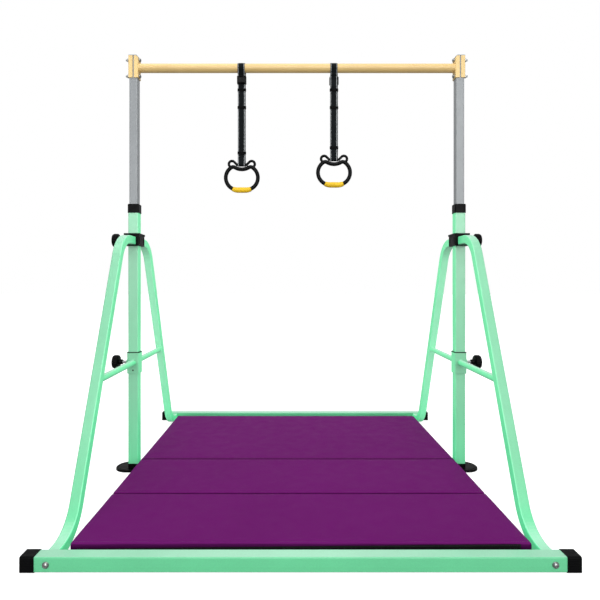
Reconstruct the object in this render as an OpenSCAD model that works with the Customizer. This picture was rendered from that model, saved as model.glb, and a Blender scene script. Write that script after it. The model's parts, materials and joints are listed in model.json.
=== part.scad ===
// Height-adjustable gymnastics training bar on two A-frames, with two strap-hung
// rings and a folding landing mat. Millimetres, +Z up, X along the bar, front is -Y.
// Origin: the centre of the footprint, on the floor.

/* [Stand] */
// Height of the bar centre above the floor, at the top setting
bar_height = 1542; // [1500:1:1600]
// Distance between the centres of the two posts
post_spacing = 1252; // [1240:1:1300]
// Depth of the base, outer face to outer face of the cross tubes
base_depth = 1408; // [1360:1:1460]
// Overall width of the base, over the end caps
base_width = 1380; // [1370:1:1440]
// Side of the square cross tubes and outer posts
tube_side = 38; // [36:1:40]
// Side of the square A-frame legs
leg_side = 30; // [26:1:32]
// Side of the square inner posts
inner_side = 32; // [30:1:32]
// Wall of every square tube
tube_wall = 1.5; // [1.2:0.1:2]
// Height of the leg centreline where it passes the post
apex_height = 874; // [860:1:890]
// Height of the side brace rods and lower knobs
brace_height = 409; // [380:1:440]
// Top of the outer posts, collar included
outer_post_top = 1016; // [1000:1:1030]
// Bottom of the inner posts at the top setting
inner_post_bottom = 690; // [640:1:740]

/* [Bar and rings] */
// Diameter of the bar
bar_diameter = 34; // [30:1:36]
// Position of the left ring along the bar
left_ring_x = -212; // [-300:1:-120]
// Position of the right ring along the bar
right_ring_x = 144; // [110:1:300]
// Drop from the bar centre to the grip centre, left ring
left_drop = 470; // [440:1:500]
// Drop from the bar centre to the grip centre, right ring
right_drop = 450; // [430:1:500]
// Width of the ring webbing
strap_width = 31; // [28:1:32]

/* [Mat] */
// Width of the mat
mat_width = 1186; // [1100:1:1190]
// Depth of the mat when it lies flat
mat_depth = 1242; // [1200:1:1260]
// Thickness of one mat panel
mat_thickness = 45; // [40:1:50]

/* [Hidden] */
$fn = 48;
clear = 0.1;
cap_wall = 1.5;
tube_z = cap_wall + clear / 2 + tube_side / 2;
post_x = post_spacing / 2;
corner_r = 3;
joint_step = 0.1;
base_y = base_depth / 2 - tube_side / 2;

// end caps
cap_side = tube_side + 2 * (cap_wall + clear / 2);
cap_end = 3;
cap_length = 35;
cap_rib = 0.5;

// A-frame legs: centreline corners and bend radii
leg_foot_y = base_depth / 2 - 144;
leg_head_y = 159;
leg_angle = atan((apex_height - tube_z) / (leg_foot_y - leg_head_y));
foot_bend_r = 127;
head_bend_r = 110;
leg_plug = 12;
socket_depth = 15;

// apex guide
guide_x = 54;
guide_y = 74;
guide_low = apex_height - 19;
guide_high = apex_height + 21;
flange_t = 7;
apex_knob_z = apex_height + 3;

// brace, sleeve and liner
brace_r = 11;
sleeve_side = 45;
sleeve_wall = 2;
sleeve_low = brace_height - 42;
sleeve_high = brace_height + 37;
liner_lip = 3;
boss_length = 8;

// foot
foot_r = 50;
foot_span = 37;
foot_disc = 8;
foot_hub = 22;

// collar
collar_side = 42.4;
collar_height = 34;
collar_top = 6;

// inner post and clamps
shell_t = 2.6;
shell_in = inner_side / 2 + 0.15;
shell_out = shell_in + shell_t;
shell_half = 42;
shell_gap = 2.5;
clamp_bolt_dz = 31;
post_head = bar_height + shell_half + 0.2;
plug_in = -12.5;
plug_half = 17.5;
hole_pitch = 78;
hole_count = 7;

// fasteners
bolt_d = 8;
base_bolt_len = 56;
screw_d = 10;
knob_r = 26;
knob_length = 39.5;
knob_outer_x = 711;
flute_count = 10;

// rings
ring_r = 7.5;
ring_side_r = 47.6;
ring_half = 62;
lobe_r = 14;
lobe_angle = 55;
dip_depth = 9;
ear_r = 5;
grip_length = 70;

// straps
ply = 2;
loop_clear = 0.35;
bar_loop_r = bar_diameter / 2 + loop_clear;
ring_loop_r = ear_r + loop_clear;
bar_taper = 33;
ring_taper = 30;
keeper_h = 11;
keeper_t = 1.2;

// mat
mat_front_y = -648;
panel_depth = mat_depth / 4;
seam_front_y = mat_front_y + panel_depth;
seam_rear_y = mat_front_y + 2 * panel_depth;
mat_rear_y = mat_front_y + mat_depth;
seam_gap = 1;
edge_cut = 3;
bead_r = 1.2;
strip_t = 2;
strip_h = 26;

mint = [0.45, 0.84, 0.64];
grey = [0.63, 0.65, 0.66];
black = [0.08, 0.08, 0.08];
tan = [0.94, 0.82, 0.55];
steel = [0.75, 0.76, 0.77];
yellow = [0.97, 0.82, 0.12];
purple = [0.42, 0.16, 0.42];

// ---------- shared shapes ----------

// points of a square section with softened corners
function section(side, r) = [
  for (q = [0:3], a = [0:30:90])
    [(side / 2 - r) * cos(45 + 90 * q) * sqrt(2) + r * cos(90 * q + a),
     (side / 2 - r) * sin(45 + 90 * q) * sqrt(2) + r * sin(90 * q + a)]
];

module square_bar(side, r, length) {
  linear_extrude(length) polygon(section(side, r));
}

module square_tube(side, wall, r, length) {
  difference() {
    square_bar(side, r, length);
    translate([0, 0, -1]) square_bar(side - 2 * wall, r - wall + 0.3, length + 2);
  }
}

// a square-section run along +X
module run_x(side, r, length) {
  rotate([0, 90, 0]) square_bar(side, r, length);
}

// mirror for the right-hand side: s is -1 on the left, 1 on the right
module on_side(s) {
  if (s < 0) mirror([1, 0, 0]) children();
  else children();
}

// rear copy: f is -1 at the front, 1 at the rear
module on_end(f) {
  if (f < 0) mirror([0, 1, 0]) children();
  else children();
}

// ---------- base ----------

module cross_tube(f) {
  tube_length = base_width - 2 * cap_end;
  color(mint) on_end(f)
  translate([0, base_y, tube_z])
  difference() {
    translate([-tube_length / 2, 0, 0]) rotate([0, 90, 0])
      square_tube(tube_side, tube_wall, corner_r, tube_length);
    for (s = [-1, 1])
      translate([s * post_x, -tube_side, 0]) rotate([-90, 0, 0])
        cylinder(d = bolt_d + 1, h = 2 * tube_side);
  }
}

// ribbed slip-over end cap
module end_cap(s, f) {
  rib_pitch = 6;
  color(black) on_side(s) on_end(f)
  translate([base_width / 2, base_y, tube_z])
  difference() {
    translate([-cap_length, 0, 0]) run_x(cap_side, corner_r + cap_wall, cap_length);
    translate([-cap_length - 1, 0, 0])
      run_x(tube_side + clear, corner_r, cap_length + 1 - cap_end);
    for (i = [-2:2]) {
      for (face = [0:3])
        rotate([90 * face, 0, 0])
        translate([-cap_length + 4, i * rib_pitch - 0.6, cap_side / 2 - cap_rib])
          cube([cap_length - 8, 1.2, 1]);
      translate([-cap_rib, -cap_side / 2 + 5, i * rib_pitch - 0.6])
        cube([1, cap_side - 10, 1.2]);
    }
  }
}

// domed bolt through each cross tube into the end of a leg
module base_bolt() {
  rotate([-90, 0, 0]) {
    cylinder(d = bolt_d, h = base_bolt_len);
    translate([0, 0, -1.4]) cylinder(d = 17, h = 1.4);
    translate([0, 0, -6.4])
      rotate_extrude() polygon([[0, 0], [3.2, 0], [6, 1.4], [7.4, 3.4], [7.8, 5], [0, 5]]);
  }
}

module base_bolts() {
  color(steel)
  for (s = [-1, 1], f = [-1, 1])
    on_side(s) on_end(-f)
    translate([post_x, -base_depth / 2, tube_z])
    difference() {
      base_bolt();
      translate([0, -4.4, 0]) rotate([90, 0, 0]) cylinder(r = 2.9, h = 4, $fn = 6);
    }
}

// ---------- A-frame ----------

// leg centreline swept solid in the plane of the A-frame, local x = +Y, local y = +Z;
// the bends are joint_step slimmer and lap into the straight runs
module leg_bend(bend, side, r) {
  lap = 0.6;
  rotate([0, 0, -lap])
    rotate_extrude(angle = leg_angle + 2 * lap) translate([bend, 0])
    polygon(section(side - joint_step, r));
}

module leg_sweep(side, r, from_y, to_y) {
  foot_t = foot_bend_r * tan(leg_angle / 2);
  head_t = head_bend_r * tan(leg_angle / 2);
  straight = (apex_height - tube_z) / sin(leg_angle) - foot_t - head_t;
  bend_start = -leg_foot_y - foot_t;
  head_end = -leg_head_y + head_t;
  translate([from_y, tube_z, 0]) run_x(side, r, bend_start - from_y);
  translate([bend_start, tube_z + foot_bend_r, 0]) rotate([0, 0, -90])
    leg_bend(foot_bend_r, side, r);
  translate([-leg_foot_y + foot_t * cos(leg_angle), tube_z + foot_t * sin(leg_angle), 0])
    rotate([0, 0, leg_angle]) run_x(side, r, straight);
  translate([head_end, apex_height - head_bend_r, 0]) rotate([0, 0, 90])
    leg_bend(head_bend_r, side, r);
  translate([head_end, apex_height, 0]) run_x(side, r, to_y - head_end);
}

module leg(s, f) {
  foot_end = -base_depth / 2 + tube_side;
  head_end = -guide_y / 2 + socket_depth;
  color(mint) on_side(s) on_end(-f)
  translate([post_x, 0, 0]) rotate([90, 0, 90])
  difference() {
    leg_sweep(leg_side, corner_r, foot_end, head_end);
    difference() {
      leg_sweep(leg_side - 2 * tube_wall, corner_r - tube_wall + 0.3, foot_end, head_end + 1);
      translate([foot_end - 1, tube_z - leg_side / 2, -leg_side / 2])
        cube([leg_plug + 1, leg_side, leg_side]);
    }
    translate([foot_end - 1, tube_z, 0]) rotate([0, 90, 0])
      cylinder(d = bolt_d + 2 * clear, h = leg_plug + 2);
  }
}

// sleeve around the post with a round brace rod to each leg
module brace(s) {
  leg_back = leg_side / 2 / sin(leg_angle);
  y_leg = leg_foot_y - (brace_height - tube_z) / tan(leg_angle);
  reach = y_leg - leg_back + brace_r;
  color(mint) on_side(s)
  translate([post_x, 0, 0]) {
    difference() {
      union() {
        translate([0, 0, sleeve_low])
          square_bar(sleeve_side, corner_r, sleeve_high - sleeve_low);
        translate([sleeve_side / 2 - 0.5, 0, brace_height]) rotate([0, 90, 0])
          cylinder(d = 19, h = boss_length + 0.5, $fn = 6);
      }
      translate([0, 0, sleeve_low - 1])
        square_bar(sleeve_side - 2 * sleeve_wall, 1, sleeve_high - sleeve_low + 2);
      translate([sleeve_side / 2 - 4, 0, brace_height]) rotate([0, 90, 0])
        cylinder(d = screw_d + 2 * clear, h = boss_length + 8);
      translate([0, s * sleeve_side / 2, sleeve_low + 13]) rotate([90, 0, 0])
        cylinder(d = 6.5, h = 8, center = true);
    }
    for (f = [-1, 1]) on_end(f)
      difference() {
        translate([0, sleeve_side / 2 - 0.5, brace_height]) rotate([-90, 0, 0])
          cylinder(r = brace_r, h = reach - sleeve_side / 2 + 0.5);
        translate([0, y_leg, brace_height]) rotate([180 - leg_angle, 0, 0])
          translate([-leg_side, -60, leg_side / 2 + 0.01 - 60])
          cube([2 * leg_side, 120, 60]);
      }
  }
}

// lining of the sleeve with a lip on top
module sleeve_liner(s) {
  inside = tube_side + 2 * clear;
  outside = sleeve_side - 2 * sleeve_wall - 2 * clear;
  color(black) on_side(s)
  translate([post_x, 0, 0])
  difference() {
    union() {
      translate([0, 0, sleeve_low]) square_bar(outside, 0.9, sleeve_high - sleeve_low);
      translate([0, 0, sleeve_high]) square_bar(sleeve_side + 1, corner_r, liner_lip);
    }
    translate([0, 0, sleeve_low - 1])
      square_bar(inside, corner_r, sleeve_high - sleeve_low + 10);
    translate([0, 0, brace_height]) rotate([0, 90, 0])
      cylinder(d = screw_d + 1, h = sleeve_side);
  }
}

// moulded guide that holds both legs and lets the post through
module apex_guide(s) {
  color(black) on_side(s)
  translate([post_x, 0, 0])
  difference() {
    union() {
      translate([-guide_x / 2, -guide_y / 2, guide_low])
        cube([guide_x, guide_y, guide_high - guide_low]);
      translate([-guide_x / 2 - 2, -guide_y / 2 - 2, guide_high])
        cube([guide_x + 4, guide_y + 4, flange_t]);
      translate([guide_x / 2 - 0.5, 0, apex_knob_z]) rotate([0, 90, 0])
        cylinder(d = 24, h = 5.5);
    }
    translate([0, 0, guide_low - 1]) square_bar(tube_side + 2 * clear, corner_r, 60);
    for (f = [-1, 1])
      translate([0, f * (guide_y / 2 - socket_depth - 0.5), apex_height]) rotate([-90 * f, 0, 0])
        square_bar(leg_side + 2 * clear, corner_r, socket_depth + 5);
    translate([0, 0, apex_knob_z]) rotate([0, 90, 0])
      cylinder(d = screw_d + 2 * clear, h = guide_x);
    for (f = [-1, 1])
      translate([-guide_x / 2 - 1, f * 27 - 4, guide_low + 7])
        cube([4, 8, guide_high - guide_low - 14]);
  }
}

module outer_post(s) {
  top = outer_post_top - collar_top;
  color(mint) on_side(s)
  translate([post_x, 0, 0])
  difference() {
    translate([0, 0, foot_hub])
      square_tube(tube_side, tube_wall, corner_r, top - foot_hub);
    translate([0, 0, apex_knob_z]) rotate([0, 90, 0])
      cylinder(d = screw_d + 1, h = tube_side);
  }
}

// oval floor pad with a hub that plugs into the post
module foot(s) {
  color(black) on_side(s)
  translate([post_x, 0, 0]) {
    difference() {
      union() {
        for (e = [-1, 1])
          translate([e * foot_span / 2, 0, 0]) {
            cylinder(r = foot_r, h = foot_disc - 2);
            translate([0, 0, foot_disc - 2]) cylinder(r1 = foot_r, r2 = foot_r - 2, h = 2);
          }
        translate([-foot_span / 2, -foot_r, 0])
          cube([foot_span, 2 * foot_r, foot_disc - 2]);
        translate([-foot_span / 2, -foot_r + 2, 0])
          cube([foot_span, 2 * foot_r - 4, foot_disc]);
      }
      for (e = [-1, 1])
        translate([e * foot_span / 2, 0, foot_disc - 1.5])
          difference() {
            cylinder(r = foot_r - 6, h = 3);
            translate([-e * 60, 0, 0]) cube([120, 120, 8], center = true);
            translate([0, 0, -1]) cylinder(r = foot_r - 9, h = 6);
          }
    }
    translate([0, 0, foot_disc - 0.5])
      square_bar(tube_side + 1, corner_r, foot_hub - foot_disc + 0.5);
    translate([0, 0, foot_hub - 0.5])
      square_bar(tube_side - 2 * tube_wall - 2 * clear, corner_r - 1, 24.5);
  }
}

module collar(s) {
  color(black) on_side(s)
  translate([post_x, 0, 0])
  difference() {
    union() {
      translate([0, 0, outer_post_top - collar_height])
        square_bar(collar_side, corner_r + 2, collar_height - 2);
      translate([0, 0, outer_post_top - 2]) square_bar(collar_side - 3, corner_r + 1, 2);
    }
    translate([0, 0, outer_post_top - collar_height - 1])
      square_bar(tube_side + clear, corner_r, collar_height + 1 - collar_top);
    translate([0, 0, outer_post_top - 10])
      square_bar(inner_side + 3 * clear, corner_r, 20);
  }
}

// ---------- knobs, axis along +X, dome outwards ----------

module knob(s, z) {
  color(black) on_side(s)
  translate([knob_outer_x - knob_length, 0, z]) rotate([0, 90, 0])
  difference() {
    rotate_extrude()
      polygon([[0, 0], [9, 0], [10.5, 12], [22, 13.5], [knob_r, 17], [knob_r, 31],
               [23.5, 36], [15, 39], [0, knob_length]]);
    for (i = [0:flute_count - 1])
      rotate([0, 0, 360 / flute_count * (i + 0.5)]) translate([knob_r + 2.4, 0, 12.5])
        cylinder(r = 4.5, h = knob_length);
    translate([0, 0, -1]) cylinder(d = screw_d + clear, h = 19);
  }
}

module knob_screw(s, z, tip_x) {
  color(steel) on_side(s)
  translate([tip_x, 0, z]) rotate([0, 90, 0]) {
    cylinder(r1 = screw_d / 2 - 1.5, r2 = screw_d / 2, h = 1.5);
    translate([0, 0, 1.5])
      cylinder(d = screw_d, h = knob_outer_x - knob_length + 16 - tip_x - 1.5);
  }
}

module apex_knob(s) { knob(s, apex_knob_z); }

module apex_screw(s) { knob_screw(s, apex_knob_z, post_x + inner_side / 2 + 0.3); }

module sleeve_knob(s) { knob(s, brace_height); }

module sleeve_screw(s) { knob_screw(s, brace_height, post_x + tube_side / 2 + 0.3); }

// ---------- inner posts, clamps and bar ----------

module inner_post(s) {
  color(grey) on_side(s)
  translate([post_x, 0, 0])
  difference() {
    translate([0, 0, inner_post_bottom])
      square_tube(inner_side, tube_wall, corner_r, post_head - inner_post_bottom);
    for (i = [0:hole_count - 1])
      translate([0, 0, apex_knob_z + i * hole_pitch]) rotate([0, 90, 0])
        cylinder(d = screw_d + 1, h = inner_side);
    for (e = [-1, 1])
      translate([0, 0, bar_height + e * clamp_bolt_dz]) rotate([0, 90, 0])
        cylinder(d = bolt_d + 0.4, h = 2 * inner_side, center = true);
  }
}

// cap over the post head and the clamp shells, with a plug inside the post
module post_plug(s) {
  color(grey) on_side(s)
  translate([post_x, 0, 0]) {
    translate([plug_in, -plug_half, post_head])
      cube([shell_out - 0.3 - plug_in, 2 * plug_half, 2.8]);
    translate([plug_in + 2, 2 - plug_half, post_head + 2.8])
      cube([shell_out - 4.3 - plug_in, 2 * plug_half - 4, 1.4]);
    translate([0, 0, post_head - 6])
      square_bar(inner_side - 2 * tube_wall - 2 * clear, 1.5, 6);
  }
}

// half shell that wraps the post head; +x is away from the post centre
module clamp_shell(cut) {
  difference() {
    translate([shell_gap, -shell_out, -shell_half])
      cube([shell_out - shell_gap, 2 * shell_out, 2 * shell_half]);
    translate([-1, -shell_in, -shell_half - 1])
      cube([shell_in + 1, 2 * shell_in, 2 * shell_half + 2]);
    for (e = [-1, 1])
      translate([0, 0, e * clamp_bolt_dz]) rotate([0, 90, 0])
        cylinder(d = bolt_d + 0.4, h = 2 * inner_side);
    if (cut > 0)
      translate([shell_out, 0, shell_half]) rotate([0, 45, 0])
        cube([cut * sqrt(2), 4 * shell_out, cut * sqrt(2)], center = true);
    for (e = [-1, 1])
      translate([shell_out, e * shell_out, 0]) rotate([0, 0, 45])
        cube([2, 2, 3 * shell_half], center = true);
  }
}

module clamp_outer(s) {
  color(tan) on_side(s) translate([post_x, 0, bar_height]) clamp_shell(0);
}

module clamp_inner(s) {
  color(tan) on_side(s) translate([post_x, 0, bar_height]) mirror([1, 0, 0]) clamp_shell(7);
}

module bar() {
  length = 2 * (post_x - shell_out);
  color(tan) translate([-length / 2, 0, bar_height]) rotate([0, 90, 0])
  difference() {
    cylinder(d = bar_diameter, h = length, $fn = 64);
    translate([0, 0, -1]) cylinder(d = bar_diameter - 6, h = length + 2);
  }
}

// clamp bolts: heads on the inner side, nuts on the outer side
module clamp_bolts() {
  color(steel)
  for (s = [-1, 1], e = [-1, 1]) on_side(s)
    translate([post_x - shell_out, 0, bar_height + e * clamp_bolt_dz]) rotate([0, 90, 0]) {
      cylinder(d = bolt_d, h = 2 * shell_out + 14);
      translate([0, 0, -1.4]) cylinder(d = 16, h = 1.4);
      translate([0, 0, -6.6])
        rotate_extrude() polygon([[0, 0], [3, 0], [5.6, 1.6], [7, 3.6], [7.2, 5.2], [0, 5.2]]);
    }
}

module clamp_nuts() {
  color(steel)
  for (s = [-1, 1], e = [-1, 1]) on_side(s)
    translate([post_x + shell_out, 0, bar_height + e * clamp_bolt_dz]) rotate([0, 90, 0])
    difference() {
      union() {
        cylinder(d = 16, h = 1.4);
        translate([0, 0, 1.4]) cylinder(d = 15, h = 6.5, $fn = 6);
      }
      translate([0, 0, -1]) cylinder(d = bolt_d + clear, h = 12);
    }
}

// ---------- rings ----------

// tube arc in the XZ plane around (x, z)
module arc_tube(x, z, bend, tube, a0, a1) {
  translate([x, 0, z]) rotate([90, 0, 0]) rotate([0, 0, a0])
    rotate_extrude(angle = a1 - a0) translate([bend, 0]) circle(r = tube, $fn = 32);
}

// ring measured from the grip centre; the strap passes round the hanger bar between the ears
ring_side_x = ring_half - ring_side_r;
lobe_x = ring_side_x + (ring_side_r - lobe_r) * cos(lobe_angle);
lobe_z = ring_side_r + (ring_side_r - lobe_r) * sin(lobe_angle);
dip_half = 2 * atan(dip_depth / lobe_x);
dip_r = lobe_x / sin(dip_half) - lobe_r;
dip_z = lobe_z + (dip_r + lobe_r) * cos(dip_half) - dip_r;
hanger_z = lobe_z + 22.5;

ear_x = 38;
ear_z = lobe_z + 25;
ear_bend = 12;
ear_end = 135;
ear_top_x = ear_x + ear_bend * cos(ear_end);
ear_top_z = ear_z + ear_bend * sin(ear_end);
knee_drop = ear_top_z - hanger_z;
knee_x = ear_top_x - knee_drop;
// side, shoulder and ear of one half; each joint steps down by joint_step
module ring_side() {
  lap = 3;
  arc_tube(ring_side_x, ring_side_r, ring_side_r, ring_r, -90, lobe_angle);
  arc_tube(lobe_x, lobe_z, lobe_r, ring_r - joint_step, lobe_angle - lap, 90 + dip_half + lap);
  arc_tube(ear_x, ear_z, ear_bend, ear_r, -60, ear_end);
  translate([knee_x, 0, hanger_z]) rotate([0, 45, 0])
    cylinder(r = ear_r - joint_step, h = knee_drop * sqrt(2) + 0.6);
  translate([knee_x, 0, hanger_z]) sphere(r = ear_r + 0.2);
}

// ring body, the dip at its top, the two ears and the hanger bar between them
module ring(x, drop) {
  color(black) translate([x, 0, bar_height - drop]) {
    translate([-ring_side_x - 0.6, 0, 0]) rotate([0, 90, 0])
      cylinder(r = ring_r - joint_step, h = 2 * ring_side_x + 1.2);
    arc_tube(0, dip_z + dip_r, dip_r, ring_r, -90 - dip_half, -90 + dip_half);
    ring_side();
    mirror([1, 0, 0]) ring_side();
    translate([-knee_x, 0, hanger_z]) rotate([0, 90, 0]) cylinder(r = ear_r, h = 2 * knee_x);
  }
}

// hand grip that follows the lower curve of the ring
module grip_half(r_mid, r_end) {
  turn = asin((grip_length / 2 - ring_side_x) / ring_side_r);
  rotate([0, 90, 0]) cylinder(r = r_mid, h = ring_side_x, $fn = 32);
  arc_tube(ring_side_x, ring_side_r, ring_side_r, r_end, -90, -90 + turn);
}

module grip(x, drop) {
  color(yellow) translate([x, 0, bar_height - drop])
  difference() {
    union() {
      grip_half(10.4, 9.8);
      mirror([1, 0, 0]) grip_half(10.4, 9.8);
    }
    for (m = [0, 1]) mirror([m, 0, 0]) {
      translate([-0.5, 0, 0]) rotate([0, 90, 0])
        cylinder(r = ring_r + clear, h = ring_side_x + 0.5, $fn = 24);
      arc_tube(ring_side_x, ring_side_r, ring_side_r, ring_r + clear, -90, -40);
    }
  }
}

// ---------- webbing straps ----------

// angle at which a line from (half, -reach) touches a circle of radius r
function touch(r, half, reach) =
  atan2(-reach, half) + acos(r / sqrt(half * half + reach * reach));

function arc_points(z, r, a0, a1, n) = [
  for (i = [0:n]) [r * cos(a0 + (a1 - a0) * i / n), z + r * sin(a0 + (a1 - a0) * i / n)]
];

// side outline of a strap: loop over the bar, doubled webbing, loop round the ring
function strap_outline(r_top, r_low, low_z, half) = concat(
  arc_points(0, r_top, touch(r_top, half, bar_taper),
             180 - touch(r_top, half, bar_taper), 28),
  [[-half, -bar_taper], [-half, low_z + ring_taper]],
  arc_points(low_z, r_low, 180 + touch(r_low, half, ring_taper),
             360 - touch(r_low, half, ring_taper), 20),
  [[half, low_z + ring_taper], [half, -bar_taper]]
);

module strap(x, drop, turned) {
  low_z = hanger_z - drop;
  color(black) translate([x, 0, bar_height]) mirror([0, turned, 0]) {
    rotate([90, 0, 90]) translate([0, 0, -strap_width / 2])
      linear_extrude(strap_width)
      difference() {
        polygon(strap_outline(bar_loop_r + ply, ring_loop_r + ply, low_z, ply));
        polygon(concat(
          arc_points(0, bar_loop_r, touch(bar_loop_r, 0, bar_taper - 4),
                     180 - touch(bar_loop_r, 0, bar_taper - 4), 28),
          [[0, 4 - bar_taper]]));
        polygon(concat(
          arc_points(low_z, ring_loop_r, 180 + touch(ring_loop_r, 0, ring_taper - 4),
                     360 - touch(ring_loop_r, 0, ring_taper - 4), 20),
          [[0, low_z + ring_taper - 4]]));
      }
    for (z = [-84, -152, 120 - drop])
      translate([0, 0, z - keeper_h / 2])
        linear_extrude(keeper_h)
        square([strap_width + 2 * keeper_t, 2 * (ply + keeper_t)], center = true);
  }
}

buckle_top = -34;
buckle_h = 27;
buckle_half_x = 17.6;
buckle_front = 13;
lever_half = 11.6;
pin_y = -8.5;
pin_z = buckle_top - 6.5;

// cam buckle: two cheeks and a back that the doubled webbing runs through
module buckle(x, turned) {
  color(black) translate([x, 0, bar_height]) mirror([0, turned, 0])
  difference() {
    translate([-buckle_half_x, -buckle_front, buckle_top - buckle_h])
      cube([2 * buckle_half_x, buckle_front + 3.6, buckle_h]);
    translate([-strap_width / 2 - 0.2, -ply - 0.2, buckle_top - buckle_h - 1])
      cube([strap_width + 0.4, 2 * ply + 0.4, buckle_h + 2]);
    translate([-lever_half - 0.4, -buckle_front - 1, buckle_top - buckle_h - 1])
      cube([2 * lever_half + 0.8, buckle_front - 2.4, buckle_h - 0.5]);
    translate([-15, pin_y, pin_z]) rotate([0, 90, 0]) cylinder(r = 1.9, h = 30, $fn = 24);
    for (e = [-1, 1])
      translate([e * buckle_half_x, -buckle_front, 0]) rotate([0, 0, 45])
        cube([3, 3, 200], center = true);
  }
}

module buckle_lever(x, turned) {
  color(black) translate([x, 0, bar_height]) mirror([0, turned, 0]) {
    difference() {
      union() {
        translate([-lever_half, pin_y, pin_z]) rotate([0, 90, 0])
          cylinder(r = 4, h = 2 * lever_half, $fn = 24);
        translate([-lever_half, pin_y - 4, pin_z - 18])
          cube([2 * lever_half, 4.2, 18]);
      }
      for (i = [0:3])
        translate([-lever_half + 3, pin_y - 4.5, pin_z - 16 + i * 3])
          cube([2 * lever_half - 6, 1, 1.2]);
    }
    translate([-14.6, pin_y, pin_z]) rotate([0, 90, 0]) cylinder(r = 1.8, h = 29.2, $fn = 24);
  }
}

// ---------- mat ----------

module foot_pockets() {
  for (s = [-1, 1], e = [-1, 1])
    translate([s * post_x + e * foot_span / 2, 0, -1])
      cylinder(r = foot_r + 2, h = foot_disc + 3);
  for (s = [-1, 1])
    translate([s * post_x - foot_span / 2, -foot_r - 2, -1])
      cube([foot_span, 2 * foot_r + 4, foot_disc + 3]);
}

// one padded panel with cut edges, from y0 to y1
module panel(y0, y1) {
  t = mat_thickness;
  c = edge_cut;
  color(purple)
  difference() {
    translate([-mat_width / 2, 0, 0]) rotate([90, 0, 90]) linear_extrude(mat_width)
      polygon([[y0 + c, 0], [y1 - c, 0], [y1, c], [y1, t - c],
               [y1 - c, t], [y0 + c, t], [y0, t - c], [y0, c]]);
    foot_pockets();
  }
}

module mat_rear_panel() { panel(seam_rear_y + seam_gap / 2, mat_rear_y); }

module mat_middle_panel() { panel(seam_front_y + seam_gap / 2, seam_rear_y - seam_gap / 2); }

module mat_front_panel() { panel(mat_front_y, seam_front_y - seam_gap / 2); }

// piped seam cord, at the top for the upward fold and at the bottom for the other
module seam(y, z) {
  color(purple) translate([-mat_width / 2 + 4, y, z]) rotate([0, 90, 0])
    cylinder(r = bead_r, h = mat_width - 8, $fn = 24);
}

module mat_rear_seam() { seam(seam_rear_y, mat_thickness - bead_r - 0.2); }

module mat_front_seam() { seam(seam_front_y, bead_r + 0.2); }

// hook-and-loop strip along an outer edge of the mat
module fastening(y) {
  color(black)
  translate([-mat_width / 2 + 15, y, 8])
    cube([mat_width - 30, strip_t, strip_h]);
}

module mat_front_strip() { fastening(mat_front_y - strip_t); }

module mat_rear_strip() { fastening(mat_rear_y); }

// ---------- output ----------

cross_tube(-1);  // front_cross_tube
cross_tube(1);  // rear_cross_tube
end_cap(-1, -1);  // front_left_cap
end_cap(1, -1);  // front_right_cap
end_cap(-1, 1);  // rear_left_cap
end_cap(1, 1);  // rear_right_cap
base_bolts();
leg(-1, -1);  // left_front_leg
leg(-1, 1);  // left_rear_leg
brace(-1);  // left_brace
sleeve_liner(-1);  // left_sleeve_liner
apex_guide(-1);  // left_apex_guide
outer_post(-1);  // left_outer_post
foot(-1);  // left_foot
collar(-1);  // left_collar
leg(1, -1);  // right_front_leg
leg(1, 1);  // right_rear_leg
brace(1);  // right_brace
sleeve_liner(1);  // right_sleeve_liner
apex_guide(1);  // right_apex_guide
outer_post(1);  // right_outer_post
foot(1);  // right_foot
collar(1);  // right_collar
apex_knob(-1);  // left_apex_knob
apex_screw(-1);  // left_apex_screw
sleeve_knob(-1);  // left_sleeve_knob
sleeve_screw(-1);  // left_sleeve_screw
apex_knob(1);  // right_apex_knob
apex_screw(1);  // right_apex_screw
sleeve_knob(1);  // right_sleeve_knob
sleeve_screw(1);  // right_sleeve_screw
inner_post(-1);  // left_inner_post
post_plug(-1);  // left_post_plug
clamp_outer(-1);  // left_clamp_outer
clamp_inner(-1);  // left_clamp_inner
inner_post(1);  // right_inner_post
post_plug(1);  // right_post_plug
clamp_outer(1);  // right_clamp_outer
clamp_inner(1);  // right_clamp_inner
bar();
clamp_bolts();
clamp_nuts();
strap(left_ring_x, left_drop, 0);  // left_strap
buckle(left_ring_x, 0);  // left_buckle
buckle_lever(left_ring_x, 0);  // left_buckle_lever
ring(left_ring_x, left_drop);  // left_ring
grip(left_ring_x, left_drop);  // left_grip
strap(right_ring_x, right_drop, 1);  // right_strap
buckle(right_ring_x, 1);  // right_buckle
buckle_lever(right_ring_x, 1);  // right_buckle_lever
ring(right_ring_x, right_drop);  // right_ring
grip(right_ring_x, right_drop);  // right_grip
mat_rear_panel();
mat_middle_panel();
mat_front_panel();
mat_rear_seam();
mat_front_seam();
mat_front_strip();
mat_rear_strip();
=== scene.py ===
"""Looks of the training bar: painted tubes, moulded parts, webbing, grips and the folding mat."""
import json
import math

import bpy
import numpy as np
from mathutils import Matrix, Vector, noise
from mathutils.kdtree import KDTree


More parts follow.
